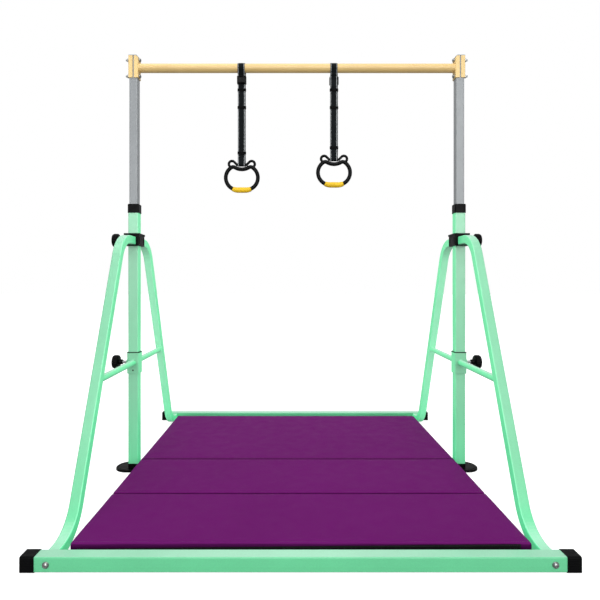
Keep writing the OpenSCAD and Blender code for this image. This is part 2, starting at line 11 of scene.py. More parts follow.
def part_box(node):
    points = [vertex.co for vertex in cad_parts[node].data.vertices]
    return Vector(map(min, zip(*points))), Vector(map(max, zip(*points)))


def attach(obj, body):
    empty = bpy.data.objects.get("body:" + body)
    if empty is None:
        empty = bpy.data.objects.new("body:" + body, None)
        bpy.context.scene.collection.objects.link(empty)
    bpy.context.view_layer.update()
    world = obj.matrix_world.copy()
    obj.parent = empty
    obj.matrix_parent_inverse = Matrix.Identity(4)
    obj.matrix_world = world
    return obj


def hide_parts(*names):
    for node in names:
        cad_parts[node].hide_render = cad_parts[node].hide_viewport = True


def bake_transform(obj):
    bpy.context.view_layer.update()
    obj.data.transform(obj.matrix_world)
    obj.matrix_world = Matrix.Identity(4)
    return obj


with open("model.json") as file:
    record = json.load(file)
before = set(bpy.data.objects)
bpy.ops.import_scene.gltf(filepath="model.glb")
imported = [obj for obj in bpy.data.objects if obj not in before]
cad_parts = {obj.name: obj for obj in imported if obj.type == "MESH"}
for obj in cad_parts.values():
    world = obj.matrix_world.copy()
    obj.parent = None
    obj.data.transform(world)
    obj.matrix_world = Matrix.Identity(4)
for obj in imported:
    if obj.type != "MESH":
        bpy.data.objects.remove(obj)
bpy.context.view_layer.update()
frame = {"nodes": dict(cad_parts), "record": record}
record = frame["record"]
slot_of = {p["node"]: p["material_slot"] for p in record["subparts"]}
joints = {j["name"]: j for j in record["behaviour"]["joints"]}
MM = 0.001


def rgb(r, g, b):
    """sRGB 0-255 to the linear colour Blender's sockets take."""
    out = []
    for c in (r / 255, g / 255, b / 255):
        out.append(c / 12.92 if c <= 0.04045 else ((c + 0.055) / 1.055) ** 2.4)
    return (*out, 1.0)


# ---------------------------------------------------------------- node materials

class Shade:
    """A small helper that builds one node material."""

    def __init__(self, name):
        self.mat = bpy.data.materials.new(name)
        self.mat.use_nodes = True
        self.tree = self.mat.node_tree
        self.tree.nodes.clear()
        self.out = self.add("ShaderNodeOutputMaterial")
        self.bsdf = self.add("ShaderNodeBsdfPrincipled")
        self.tree.links.new(self.bsdf.outputs["BSDF"], self.out.inputs["Surface"])

    def add(self, kind, **props):
        node = self.tree.nodes.new(kind)
        for key, value in props.items():
            setattr(node, key, value)
        return node

    def put(self, socket, value):
        if isinstance(value, bpy.types.NodeSocket):
            self.tree.links.new(value, socket)
        else:
            socket.default_value = value

    def set(self, **values):
        names = {"color": "Base Color", "rough": "Roughness", "metal": "Metallic", "normal": "Normal",
                 "sheen": "Sheen Weight", "sheen_rough": "Sheen Roughness", "coat": "Coat Weight",
                 "coat_rough": "Coat Roughness", "spec": "Specular IOR Level"}
        for key, value in values.items():
            self.put(self.bsdf.inputs[names[key]], value)
        return self.mat

    def coord(self, kind="Object", scale=None):
        vec = self.add("ShaderNodeTexCoord").outputs[kind]
        if scale is None:
            return vec
        m = self.add("ShaderNodeMapping")
        self.put(m.inputs["Vector"], vec)
        m.inputs["Scale"].default_value = scale
        return m.outputs["Vector"]

    def noise(self, scale, detail=2.0, rough=0.5, vec=None, distort=0.0):
        n = self.add("ShaderNodeTexNoise")
        self.put(n.inputs["Vector"], self.coord() if vec is None else vec)
        n.inputs["Scale"].default_value = scale
        n.inputs["Detail"].default_value = detail
        n.inputs["Roughness"].default_value = rough
        n.inputs["Distortion"].default_value = distort
        return n.outputs["Fac"]

    def voronoi(self, scale, feature="F1"):
        n = self.add("ShaderNodeTexVoronoi", feature=feature)
        self.put(n.inputs["Vector"], self.coord())
        n.inputs["Scale"].default_value = scale
        return n.outputs["Distance"]

    def ramp(self, fac, *stops):
        """Colour ramp; a stop is (place, grey level) or (place, colour)."""
        n = self.add("ShaderNodeValToRGB")
        self.put(n.inputs["Fac"], fac)
        ramp = n.color_ramp
        while len(ramp.elements) < len(stops):
            ramp.elements.new(0.5)
        for element, (pos, col) in zip(ramp.elements, stops):
            element.position = pos
            element.color = col if isinstance(col, tuple) else (col, col, col, 1)
        return n.outputs["Color"]

    def mix(self, fac, a, b, blend="MIX"):
        n = self.add("ShaderNodeMix", data_type="RGBA", blend_type=blend)
        first, second, result = n.inputs[6], n.inputs[7], n.outputs[2]
        self.put(n.inputs["Factor"], fac)
        self.put(first, a)
        self.put(second, b)
        return result

    def math(self, op, a, b=0.0, clamp=False):
        n = self.add("ShaderNodeMath", operation=op, use_clamp=clamp)
        self.put(n.inputs[0], a)
        self.put(n.inputs[1], b)
        return n.outputs[0]

    def facing(self, kind="Normal"):
        """X, Y and Z of the surface normal."""
        return self.split(self.add("ShaderNodeNewGeometry").outputs[kind])

    def split(self, vec):
        n = self.add("ShaderNodeSeparateXYZ")
        self.put(n.inputs[0], vec)
        return n.outputs

    def bevel(self, radius):
        n = self.add("ShaderNodeBevel", samples=6)
        n.inputs["Radius"].default_value = radius
        return n.outputs["Normal"]

    def edges(self, bevel_normal):
        """0 on flats, rising to 1 on rounded edges."""
        g = self.add("ShaderNodeNewGeometry").outputs["Normal"]
        d = self.add("ShaderNodeVectorMath", operation="DOT_PRODUCT")
        self.put(d.inputs[0], bevel_normal)
        self.put(d.inputs[1], g)
        return self.math("MULTIPLY", self.math("SUBTRACT", 1.0, d.outputs["Value"]), 9.0, clamp=True)

    def bump(self, height, strength, distance, normal=None):
        n = self.add("ShaderNodeBump")
        n.inputs["Strength"].default_value = strength
        n.inputs["Distance"].default_value = distance
        self.put(n.inputs["Height"], height)
        if normal is not None:
            self.put(n.inputs["Normal"], normal)
        return n.outputs["Normal"]


def scaled(color, k):
    return (color[0] * k, color[1] * k, color[2] * k, 1)


def paint(name, color, rough, edge_light=1.25, pale=None, flank_shade_tone=None, top=None):
    """Powder coat: slight tone drift, orange peel, and a painted highlight that brightens the edges.

    A coat with a pale tone gets painted light: paler with height, painted shade on the flanks, a painted
    highlight on tops.
    """
    s = Shade(name)
    drift = s.noise(5.0, 3.0, 0.55)
    color_in = color
    if pale is not None:
        height = s.split(s.coord())[2]
        facing = s.facing("True Normal")
        flank_shade_mask = s.ramp(s.math("ABSOLUTE", facing[0]), (0.5, 0.0), (0.9, 0.9))
        # painted light: the coat turns paler with height, where more light falls
        color_in = s.mix(s.ramp(height, (0.035, 0.0), (0.3, 0.8), (0.9, 1.0)), color, pale)
        # painted shade: the flanks get a deeper tone
        color_in = s.mix(flank_shade_mask, color_in, flank_shade_tone)
        # painted highlight: faces turned up are palest
        color_in = s.mix(s.ramp(facing[2], (0.72, 0.0), (0.97, 0.5)), color_in, top)
    base = s.mix(1.0, color_in, s.ramp(drift, (0.3, 0.95), (0.7, 1.04)), "MULTIPLY")
    speck = s.ramp(s.noise(420.0, 2.0), (0.35, 0.955), (0.65, 1.02))
    base = s.mix(1.0, base, speck, "MULTIPLY")
    round_n = s.bevel(1.6 * MM)
    # painted highlight: the rounded edges are coloured brighter, in patches set by noise
    painted_edge_highlight = s.math("MULTIPLY", s.edges(round_n), s.ramp(s.noise(60.0, 3.0), (0.35, 0.15), (0.75, 0.75)))
    base = s.mix(painted_edge_highlight, base, scaled(color, edge_light))
    peel = s.math("ADD", s.noise(900.0, 2.0), s.math("MULTIPLY", s.noise(160.0, 2.0), 0.8))
    r = s.ramp(s.noise(30.0, 4.0), (0.3, rough - 0.05), (0.7, rough + 0.07))
    return s.set(color=base, rough=r, coat=0.5, coat_rough=0.24,
                 normal=s.bump(peel, 0.12, 0.35 * MM, round_n))


def moulded(name, color, rough, radius=0.9 * MM):
    """Moulded plastic with a spark-eroded grain and a painted highlight on the edges."""
    s = Shade(name)
    tone = s.ramp(s.noise(24.0, 3.0), (0.3, scaled(color, 0.8)), (0.7, scaled(color, 1.25)))
    round_n = s.bevel(radius)
    # painted highlight: the rounded edges are coloured lighter, in patches set by noise
    moulded_edge_highlight = s.math("MULTIPLY", s.edges(round_n), s.ramp(s.noise(90.0, 3.0), (0.4, 0.1), (0.8, 0.5)))
    tone = s.mix(moulded_edge_highlight, tone, scaled(color, 3.2))
    grain = s.math("ADD", s.noise(1500.0, 3.0, 0.6), s.math("MULTIPLY", s.voronoi(900.0), 0.6))
    r = s.ramp(s.noise(70.0, 3.0), (0.3, rough - 0.06), (0.7, rough + 0.1))
    return s.set(color=tone, rough=r, spec=0.08, normal=s.bump(grain, 0.2, 0.2 * MM, round_n))


def plated(name):
    """Zinc-plated steel: fine brushing, bluish-yellow tint drift."""
    s = Shade(name)
    tint = s.ramp(s.noise(90.0, 3.0), (0.25, rgb(126, 130, 134)), (0.6, rgb(160, 161, 160)),
                  (0.85, rgb(150, 146, 132)))
    brush = s.noise(260.0, 4.0, 0.7, s.coord(scale=(1.0, 9.0, 9.0)))
    r = s.ramp(brush, (0.3, 0.2), (0.7, 0.42))
    return s.set(color=tint, metal=1.0, rough=r, normal=s.bump(brush, 0.12, 0.2 * MM, s.bevel(0.7 * MM)))


def tan_coat(name, wood_like):
    """Pale tan coat on the bar and clamps; the bar carries faint lengthways streaks."""
    color = rgb(218, 185, 119) if wood_like else rgb(226, 194, 128)
    s = Shade(name)
    drift = s.noise(7.0, 3.0, 0.55)
    base = s.ramp(drift, (0.3, scaled(color, 0.93)), (0.7, scaled(color, 1.05)))
    if wood_like:
        streak = s.noise(55.0, 5.0, 0.62, s.coord(scale=(0.035, 1.0, 1.0)), 0.6)
        base = s.mix(s.ramp(streak, (0.35, 0.0), (0.7, 0.38)), base, rgb(206, 166, 104))
        fine = s.noise(420.0, 3.0, 0.6, s.coord(scale=(0.03, 1.0, 1.0)))
        base = s.mix(s.ramp(fine, (0.45, 0.0), (0.75, 0.22)), base, rgb(250, 228, 176))
        height = s.math("ADD", s.math("MULTIPLY", streak, 0.6), fine)
        return s.set(color=base, rough=s.ramp(streak, (0.3, 0.36), (0.7, 0.5)), coat=0.15, coat_rough=0.2,
                     normal=s.bump(height, 0.12, 0.3 * MM))
    round_n = s.bevel(1.4 * MM)
    # painted highlight: the clamps' rounded edges are coloured lighter
    base = s.mix(s.math("MULTIPLY", s.edges(round_n), 0.4), base, scaled(color, 1.2))
    return s.set(color=base, rough=s.ramp(s.noise(50.0, 3.0), (0.3, 0.36), (0.7, 0.5)), coat=0.1,
                 normal=s.bump(s.noise(900.0, 2.0), 0.14, 0.3 * MM, round_n))


def webbing(name, color, half_width=None):
    """Woven webbing from its own UVs in metres: u across, v along.

    With a half width it also carries a pale stitch line near each edge.
    """
    s = Shade(name)
    u, v, _ = s.split(s.coord("UV"))
    warp = s.math("SINE", s.math("MULTIPLY", u, 2 * math.pi / (1.5 * MM)))
    twill = s.math("SINE", s.math("ADD", s.math("MULTIPLY", v, 2 * math.pi / (1.9 * MM)),
                                  s.math("MULTIPLY", u, 2 * math.pi / (3.0 * MM))))
    weave = s.math("ADD", s.math("MULTIPLY", warp, 0.5), s.math("MULTIPLY", twill, 0.5))
    fuzz = s.noise(1300.0, 4.0, 0.7)
    tone = s.ramp(s.math("ADD", s.math("MULTIPLY", weave, 0.28), 0.5),
                  (0.2, scaled(color, 0.45)), (0.85, scaled(color, 1.8)))
    tone = s.mix(s.ramp(fuzz, (0.4, 0.0), (0.8, 0.35)), tone, scaled(color, 2.6))
    broad = s.ramp(s.noise(28.0, 2.0), (0.3, 0.8), (0.7, 1.2))
    tone = s.mix(1.0, tone, broad, "MULTIPLY")
    height = s.math("ADD", weave, s.math("MULTIPLY", fuzz, 0.8))
    if half_width is not None:
        line_inset, line_half, stitch_pitch, stitch_share = 2.6 * MM, 1.05 * MM, 5.2 * MM, 0.68
        side = s.math("ABSOLUTE", u)
        near = s.math("ABSOLUTE", s.math("SUBTRACT", side, half_width - line_inset))
        line = s.math("LESS_THAN", near, line_half)
        phase = s.math("FRACT", s.math("DIVIDE", v, stitch_pitch))
        dash = s.math("MULTIPLY", line, s.math("LESS_THAN", phase, stitch_share))
        pale = s.ramp(s.noise(900.0, 2.0), (0.3, rgb(150, 154, 156)), (0.7, rgb(212, 215, 217)))
        tone = s.mix(dash, tone, pale)
        height = s.math("ADD", height, s.math("MULTIPLY", dash, 1.6))
        height = s.math("SUBTRACT", height, s.math("MULTIPLY", line, 0.8))
    return s.set(color=tone, rough=0.8, sheen=0.05, sheen_rough=0.4, spec=0.08,
                 normal=s.bump(height, 0.55, 0.3 * MM))


def vinyl(name, color):
    """Coated mat cover: fine leather grain, soft tone drift, slight scuffing, painted shade in the grain's
    creases and on the side walls.
    """
    s = Shade(name)
    drift = s.noise(2.6, 3.0, 0.6)
    tone = s.ramp(drift, (0.3, scaled(color, 0.96)), (0.72, scaled(color, 1.04)))
    cells = s.voronoi(620.0, feature="DISTANCE_TO_EDGE")
    # painted shade: the grain's creases are darkened
    crease_shade = s.ramp(cells, (0.0, 0.84), (0.12, 1.0))
    tone = s.mix(1.0, tone, crease_shade, "MULTIPLY")
    # painted shade: faces turned away from up, such as the side walls, are darkened
    tone = s.mix(1.0, tone, s.ramp(s.facing()[2], (0.1, 0.55), (0.75, 1.0)), "MULTIPLY")
    scuff = s.ramp(s.noise(36.0, 6.0, 0.7), (0.62, 0.0), (0.8, 0.08))
    tone = s.mix(scuff, tone, scaled(color, 1.5))
    height = s.math("ADD", s.ramp(cells, (0.0, 0.0), (0.22, 1.0)),
                    s.math("MULTIPLY", s.noise(1600.0, 2.0), 0.5))
    r = s.ramp(s.noise(20.0, 4.0, 0.6), (0.3, 0.42), (0.7, 0.58))
    return s.set(color=tone, rough=r, spec=0.015, normal=s.bump(height, 0.2, 0.3 * MM))


def tape(name):
    """Hook-and-loop tape: short fuzzy pile."""
    s = Shade(name)
    pile = s.math("ADD", s.noise(1500.0, 4.0, 0.8), s.math("MULTIPLY", s.voronoi(900.0), 0.8))
    tone = s.ramp(pile, (0.35, rgb(3, 3, 4)), (0.95, rgb(26, 26, 27)))
    return s.set(color=tone, rough=0.95, sheen=0.04, spec=0.03, normal=s.bump(pile, 0.9, 0.6 * MM))


def rubber_grip(name, color):
    """Soft grip with fine pores and a slightly rubbed surface."""
    s = Shade(name)
    base = s.ramp(s.noise(30.0, 4.0, 0.6), (0.3, scaled(color, 0.92)), (0.7, scaled(color, 1.04)))
    pores = s.voronoi(1100.0)
    base = s.mix(s.ramp(pores, (0.0, 0.12), (0.2, 0.0)), base, scaled(color, 0.7))
    height = s.math("ADD", s.math("MULTIPLY", pores, -1.0), s.math("MULTIPLY", s.noise(700.0, 3.0), 0.6))
    return s.set(color=base, rough=s.ramp(s.noise(120.0, 3.0), (0.3, 0.5), (0.7, 0.68)), spec=0.4,
                 normal=s.bump(height, 0.22, 0.3 * MM))


def thread(name, color):
    """Twisted sewing thread."""
    s = Shade(name)
    twist = s.noise(2600.0, 3.0, 0.6)
    tone = s.ramp(twist, (0.3, scaled(color, 0.6)), (0.75, scaled(color, 1.3)))
    return s.set(color=tone, rough=0.6, sheen=0.2, normal=s.bump(twist, 0.5, 0.2 * MM))


MINT = rgb(99, 202, 147)
PURPLE = rgb(104, 24, 102)
materials = {
    # the mint coat's extra tones are painted light: paler higher up, painted shade on flanks, a painted
    # highlight on tops
    "mint_paint": paint("mint_powder_coat", MINT, 0.38, pale=rgb(124, 192, 154),
                        flank_shade_tone=rgb(82, 202, 138), top=rgb(182, 226, 204)),
    "grey_paint": paint("grey_powder_coat", rgb(131, 135, 138), 0.42, 1.15),
    "tan_paint": tan_coat("tan_coat", False),
    "black_plastic": moulded("black_moulding", rgb(2, 2, 3), 0.4),
    "knob_plastic": moulded("knob_moulding", rgb(4, 4, 5), 0.38, radius=0.7 * MM),
    "zinc_steel": plated("zinc_plate"),
    "buckle_plastic": moulded("buckle_moulding", rgb(8, 8, 9), 0.28, radius=0.5 * MM),
    "ring_plastic": moulded("ring_moulding", rgb(9, 10, 11), 0.36, radius=0.5 * MM),
}
bar_material = tan_coat("bar_coat", True)
keeper_room = 1.2 * MM
strap_half = (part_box("left_strap")[1].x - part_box("left_strap")[0].x) / 2 - keeper_room
ply_shift = 1.6 * MM  # the two plies of a strap lie this far to either side of its middle
ply_half = strap_half - ply_shift
web_material = webbing("strap_webbing", rgb(14, 17, 19), ply_half)
keeper_material = webbing("keeper_elastic", rgb(6, 6, 7))
vinyl_material = vinyl("mat_cover", PURPLE)
seam_material = vinyl("mat_binding", rgb(84, 20, 81))
tape_material = tape("fastening_tape")
grip_material = rubber_grip("yellow_grip", rgb(232, 188, 22))
mat_thread = thread("mat_thread", rgb(116, 44, 114))
tape_thread = thread("tape_thread", rgb(22, 20, 24))

for name, node in frame["nodes"].items():
    material = bar_material if name == "bar" else materials.get(slot_of[name])
    if material is None:
        continue
    if not node.data.materials:
        node.data.materials.append(material)
    for i in range(len(node.data.materials)):
        node.data.materials[i] = material
    if name.endswith(("ring", "knob", "screw")) or name == "bar":
        node.data.shade_smooth()


# ---------------------------------------------------------------- mesh helpers

def make(name, verts, faces, material):
    """Smooth-shaded object from plain lists."""
    mesh = bpy.data.meshes.new(name)
    mesh.from_pydata([tuple(v) for v in verts], [], faces)
    mesh.update()
    obj = bpy.data.objects.new(name, mesh)
    bpy.context.scene.collection.objects.link(obj)
    mesh.materials.append(material)
    mesh.shade_smooth()
    return obj


def smooth_path(points, step):
    """Resamples a closed polyline at about equal steps."""
    pts = np.array(points, float)
    loop = np.vstack([pts, pts[:1]])
    seg = np.linalg.norm(np.diff(loop, axis=0), axis=1)
    s = np.concatenate([[0], np.cumsum(seg)])
    n = max(8, int(round(s[-1] / step)))
    t = np.linspace(0, s[-1], n, endpoint=False)
    return np.stack([np.interp(t, s, loop[:, k]) for k in range(pts.shape[1])], 1)


def ribbon(name, path, width, thick, material, x0):
    """Flat webbing swept round a closed path of (x shift, y, z) points; UVs are metres across and along."""
    p = np.array(path, float)
    n = len(p)
    tan = (np.roll(p, -1, 0) - np.roll(p, 1, 0))[:, 1:]
    tan /= np.linalg.norm(tan, axis=1)[:, None]
    nor = np.stack([-tan[:, 1], tan[:, 0]], 1)
    half, r = width / 2, thick / 2
    across = [-half, -half + 0.5 * r, -half + 1.3 * r, -half * 0.6, -half * 0.2,
              half * 0.2, half * 0.6, half - 1.3 * r, half - 0.5 * r, half]
    swell = [0.0, 0.75, 1.0, 0.93, 0.95, 0.95, 0.93, 1.0, 0.75, 0.0]
    section = [(x, r * t) for x, t in zip(across, swell)]
    section += [(x, -r * t) for x, t in zip(across[-2:0:-1], swell[-2:0:-1])]
    m = len(section)
    s = np.concatenate([[0], np.cumsum(np.linalg.norm(np.diff(p[:, 1:], axis=0), axis=1))])
    total = s[-1] + np.linalg.norm(p[0, 1:] - p[-1, 1:])
    verts = [(x0 + p[i, 0] + x, p[i, 1] + nor[i, 0] * h, p[i, 2] + nor[i, 1] * h)
             for i in range(n) for x, h in section]
    faces, uvs = [], []
    for i in range(n):
        j = (i + 1) % n
        far = s[j] if j else total
        for k in range(m):
            q = (k + 1) % m
            faces.append((i * m + k, i * m + q, j * m + q, j * m + k))
            left, right = section[k][0], section[q][0]
            uvs += [(left, s[i]), (right, s[i]), (right, far), (left, far)]
    obj = make(name, verts, faces, material)
    layer = obj.data.uv_layers.new(name="webbing")
    for i, uv in enumerate(uvs):
        layer.data[i].uv = uv
    return obj


def arc(cy, cz, r, a0, a1, n):
    """n + 1 points of an arc in the Y-Z plane; angles in degrees."""
    return [(cy + r * math.cos(math.radians(a0 + (a1 - a0) * i / n)),
             cz + r * math.sin(math.radians(a0 + (a1 - a0) * i / n))) for i in range(n + 1)]


def stitches(name, runs, length, radius, gap, material, body):
    """Rows of small raised stitches. Each run is (start, end, up)."""
    lengthways = ((-0.5, 0.35), (-0.25, 1.0), (0.25, 1.0), (0.5, 0.35))
    section = ((1, 0), (0.5, 0.85), (-0.5, 0.85), (-1, 0), (0, -0.6))
    verts, faces = [], []
    for start, end, up in runs:
        a, b, up = Vector(start), Vector(end), Vector(up).normalized()
        along = (b - a).normalized()
        side = along.cross(up).normalized()
        count = max(1, int((b - a).length / (length + gap)))
        pitch = (b - a).length / count
        for i in range(count):
            mid = a + along * (pitch * (i + 0.5))
            base = len(verts)
            for t, k in lengthways:
                centre, r = mid + along * (t * length), radius * k
                verts += [centre + side * (c * r) + up * (h * r) for c, h in section]
            for first in range(base, base + 15, 5):
                for q in range(5):
                    n = (q + 1) % 5
                    faces.append((first + q, first + n, first + 5 + n, first + 5 + q))
            faces.append(tuple(base + q for q in range(5))[::-1])
            faces.append(tuple(base + 15 + q for q in range(5)))
    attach(make(name, verts, faces, material), body)


# ---------------------------------------------------------------- straps

def smooth_step(t):
    """0 below 0, 1 above 1, eased between."""
    t = min(max(t, 0.0), 1.0)
    return t * t * (3 - 2 * t)


def strap_path(side, turned, ply):
    """Closed path of (x shift, y, z) round the bar, down, round the ring's stem and up again."""
    z0 = joints[side + "_strap_swing"]["pos_m"][2]
    zl = joints[side + "_ring_tilt"]["pos_m"][2]
    bar_lo, bar_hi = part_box("bar")
    r_top = (bar_hi.z - bar_lo.z) / 2 + 0.35 * MM + ply / 2
    r_low = 5.35 * MM + ply / 2
    half = ply / 2 + 0.1 * MM
    under_bar, over_ring = 33 * MM, 30 * MM  # where the two plies meet
    top_a = math.degrees(math.atan2(-under_bar, half) + math.acos(r_top / math.hypot(half, under_bar)))
    low_a = math.degrees(math.atan2(-over_ring, half) + math.acos(r_low / math.hypot(half, over_ring)))
    pts = arc(0, z0, r_top, top_a, 180 - top_a, 40)
    pts += [(-half, z0 - under_bar), (-half, zl + over_ring)]
    pts += arc(0, zl, r_low, 180 + low_a, 360 - low_a, 24)
    pts += [(half, zl + over_ring), (half, z0 - under_bar)]
    out = []
    for y, z in smooth_path(pts, 3.0 * MM):
        from_top = min(max((z0 - 75 * MM - z) / (60 * MM), 0), 1)
        from_low = min(max((z - zl - 45 * MM) / (60 * MM), 0), 1)
        wave = 0.18 * MM * from_top * from_low * noise.noise(Vector((0.3, y * 40, z * 14)))
        if turned:
            y = -y
            # the front ply passes over the buckle, whose plate is behind it
            over = smooth_step((z0 - 14 * MM - z) / (14 * MM)) * smooth_step((z - z0 + 84 * MM) / (18 * MM))
            y = min(y, -half) - 3.9 * MM * over if y < 0 else y
        shift = ply_shift * smooth_step(abs(y) / (1.2 * MM)) * (1 if y > 0 else -1)
        out.append((shift, y + wave, z))
    return out[::-1] if turned else out


def keeper(name, x0, z, body):
    """Elastic band round the doubled webbing, with a rolled upper and lower edge."""
    w, d, r = strap_half + 0.75 * MM, 2.55 * MM, 1.6 * MM
    loop = []
    for cx, cy, a0 in ((w - r, d - r, 0), (-w + r, d - r, 90), (-w + r, -d + r, 180), (w - r, -d + r, 270)):
        for k in range(5):
            a = math.radians(a0 + 90 * k / 4)
            loop.append((cx + r * math.cos(a), cy + r * math.sin(a)))
    rows = [(-5.5, 0.0), (-5.0, 0.75), (-3.0, 1.0), (0.0, 0.9), (3.0, 1.0), (5.0, 0.75), (5.5, 0.0)]
    verts, faces = [], []
    n = len(loop)
    for h, k in rows:
        for x, y in loop:
            length = math.hypot(x / w, y / d)
            nx, ny = (x / w) / length, (y / d) / length
            verts.append((x0 + x + nx * 0.45 * MM * k, y + ny * 0.6 * MM * k, z + h * MM))
    for j in range(len(rows) - 1):
        for k in range(n):
            q = (k + 1) % n
            faces.append((j * n + k, j * n + q, (j + 1) * n + q, (j + 1) * n + k))
    obj = make(name, verts, faces, keeper_material)
    layer = obj.data.uv_layers.new(name="webbing")
    for loop_data, uv in zip(obj.data.loops, layer.data):
        co = obj.data.vertices[loop_data.vertex_index].co
        uv.uv = (co.z, co.x)
    solid = obj.modifiers.new("thickness", "SOLIDIFY")
    solid.thickness = 0.5 * MM
    solid.offset = -1
    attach(obj, body)


def strap(side, turned):
    """Doubled webbing with three keepers and a box stitch; a turned strap has its buckle behind."""
    node, body = side + "_strap", side + "_strap_hanging"
    lo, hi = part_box(node)
    x0 = (lo.x + hi.x) / 2
    z0 = joints[side + "_strap_swing"]["pos_m"][2]
    zl = joints[side + "_ring_tilt"]["pos_m"][2]
    ply = 1.7 * MM
    path = strap_path(side, turned, ply)
    web = ribbon(side + "_strap_webbing", path, 2 * ply_half, ply, web_material, x0)
    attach(web, body)
    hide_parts(node)

    grip_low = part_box(side + "_grip")[0].z
    for i, z in enumerate((z0 - 84 * MM, z0 - 152 * MM, grip_low + 153.4 * MM)):
        keeper("%s_keeper_%d" % (side, i + 1), x0, z, body)

    # box stitching that closes the lower loop
    front = 1 if turned else -1
    w, y = strap_half - 5.5 * MM, front * (ply + 0.15 * MM)
    za, zb = zl + 36 * MM, zl + 56 * MM
    corners = [(x0 - w, y, za), (x0 + w, y, za), (x0 + w, y, zb), (x0 - w, y, zb)]
    runs = [(corners[i], corners[(i + 1) % 4], (0, front, 0)) for i in range(4)]
    runs += [(corners[0], corners[2], (0, front, 0)), (corners[1], corners[3], (0, front, 0))]
    stitches(side + "_box_stitch", runs, 2.4 * MM, 0.3 * MM, 0.9 * MM, keeper_material, body)


strap("left", False)
strap("right", True)


# ---------------------------------------------------------------- ring grips

def grip(side):
    """Soft sleeve with faint ribs that follows the ring's lower run and its bends."""
    node = side + "_grip"
    lo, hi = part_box(node)
    ring_lo, ring_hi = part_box(side + "_ring")
    x0 = (lo.x + hi.x) / 2
    tube = 7.5 * MM  # radius of the ring's tube
    z0 = lo.z + 10.4 * MM
    bend = 47.6 * MM  # radius of the ring's lower corners
    flat = (ring_hi.x - ring_lo.x) / 2 - tube - bend
    end_r = 9.8 * MM
    length = flat + bend * math.asin(((hi.x - lo.x) / 2 - flat) / (bend + end_r))
    lip, rib_pitch = 1.6 * MM, 3.1 * MM
    sides, steps = 40, 56
    profile = []
    for i in range(steps + 1):
        t = -1 + 2 * i / steps
        s = t * length
        rib = 0.12 * MM * math.cos(s / rib_pitch * math.pi)
        r = (8.9 + 1.75 * (1 - abs(t) ** 2.4)) * MM + rib * (1 if abs(t) < 0.94 else 0)
        edge = (1 - abs(t)) * length
        if edge < lip:
            r -= 1.1 * MM * (1 - edge / lip) ** 2
        profile.append((s, r))
    profile = [(-length, tube + 0.12 * MM)] + profile + [(length, tube + 0.12 * MM)]
    verts, faces = [], []
    for s, r in profile:
        if abs(s) <= flat:
            cx, cz, a = s, 0.0, 0.0
        else:
            a = (abs(s) - flat) / bend
            cx = math.copysign(flat + bend * math.sin(a), s)
            cz = bend * (1 - math.cos(a))
            a = math.copysign(a, s)
        for k in range(sides):
            f = 2 * math.pi * k / sides
            ny, nz = math.sin(f), math.cos(f)
            verts.append((x0 + cx - math.sin(a) * nz * r, ny * r, z0 + cz + math.cos(a) * nz * r))
    for i in range(len(profile) - 1):
        for k in range(sides):
            q = (k + 1) % sides
            faces.append(((i + 1) * sides + k, (i + 1) * sides + q, i * sides + q, i * sides + k))
    obj = make(side + "_grip_sleeve", verts, faces, grip_material)
    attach(obj, side + "_ring_hanging")
    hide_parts(node)


grip("left")
grip("right")


# ---------------------------------------------------------------- mat

foam_edge = 6.5 * MM  # radius of the foam blocks' edges
border = 9.5 * MM  # from a panel's edge to its sewn border
# how far a cover's lower and upper corner lie from those of its foam block, in mm
cover_low = (-2.0, 0.6, 0.0)
cover_high = (7.0, -0.6, -0.9)


def grid_axis(lo, hi, edge, step):
    """Coordinates that crowd near both ends, where the sewn edge is."""
    inner = np.arange(lo + edge[-1] + step * 0.6, hi - edge[-1] - step * 0.4, step)
    if len(inner) > 1:
        inner = np.linspace(lo + edge[-1] + step * 0.5, hi - edge[-1] - step * 0.5, len(inner))
    return np.concatenate([[lo + e for e in edge], inner, [hi - e for e in edge[::-1]]])


def box_mesh(xs, ys, zs):
    """Closed quad mesh over the surface of a grid box."""
    index, verts, faces = {}, [], []

    def vid(i, j, k):
        key = (i, j, k)
        if key not in index:
            index[key] = len(verts)
            verts.append((xs[i], ys[j], zs[k]))
        return index[key]

    nx, ny, nz = len(xs) - 1, len(ys) - 1, len(zs) - 1
    for i in range(nx):
        for j in range(ny):
            faces.append((vid(i, j, 0), vid(i, j + 1, 0), vid(i + 1, j + 1, 0), vid(i + 1, j, 0)))
            faces.append((vid(i, j, nz), vid(i + 1, j, nz), vid(i + 1, j + 1, nz), vid(i, j + 1, nz)))
    for i in range(nx):
        for k in range(nz):
            faces.append((vid(i, 0, k), vid(i + 1, 0, k), vid(i + 1, 0, k + 1), vid(i, 0, k + 1)))
            faces.append((vid(i, ny, k), vid(i, ny, k + 1), vid(i + 1, ny, k + 1), vid(i + 1, ny, k)))
    for j in range(ny):
        for k in range(nz):
            faces.append((vid(0, j, k), vid(0, j, k + 1), vid(0, j + 1, k + 1), vid(0, j + 1, k)))
            faces.append((vid(nx, j, k), vid(nx, j + 1, k), vid(nx, j + 1, k + 1), vid(nx, j, k + 1)))
    return np.array(verts), faces


def rounded(verts, lo, hi, radius):
    """Pushes a box surface onto the same box with rounded edges and corners."""
    inner = np.clip(verts, np.array(lo) + radius, np.array(hi) - radius)
    d = verts - inner
    n = np.linalg.norm(d, axis=1)
    n[n < 1e-9] = 1
    return inner + d / n[:, None] * radius


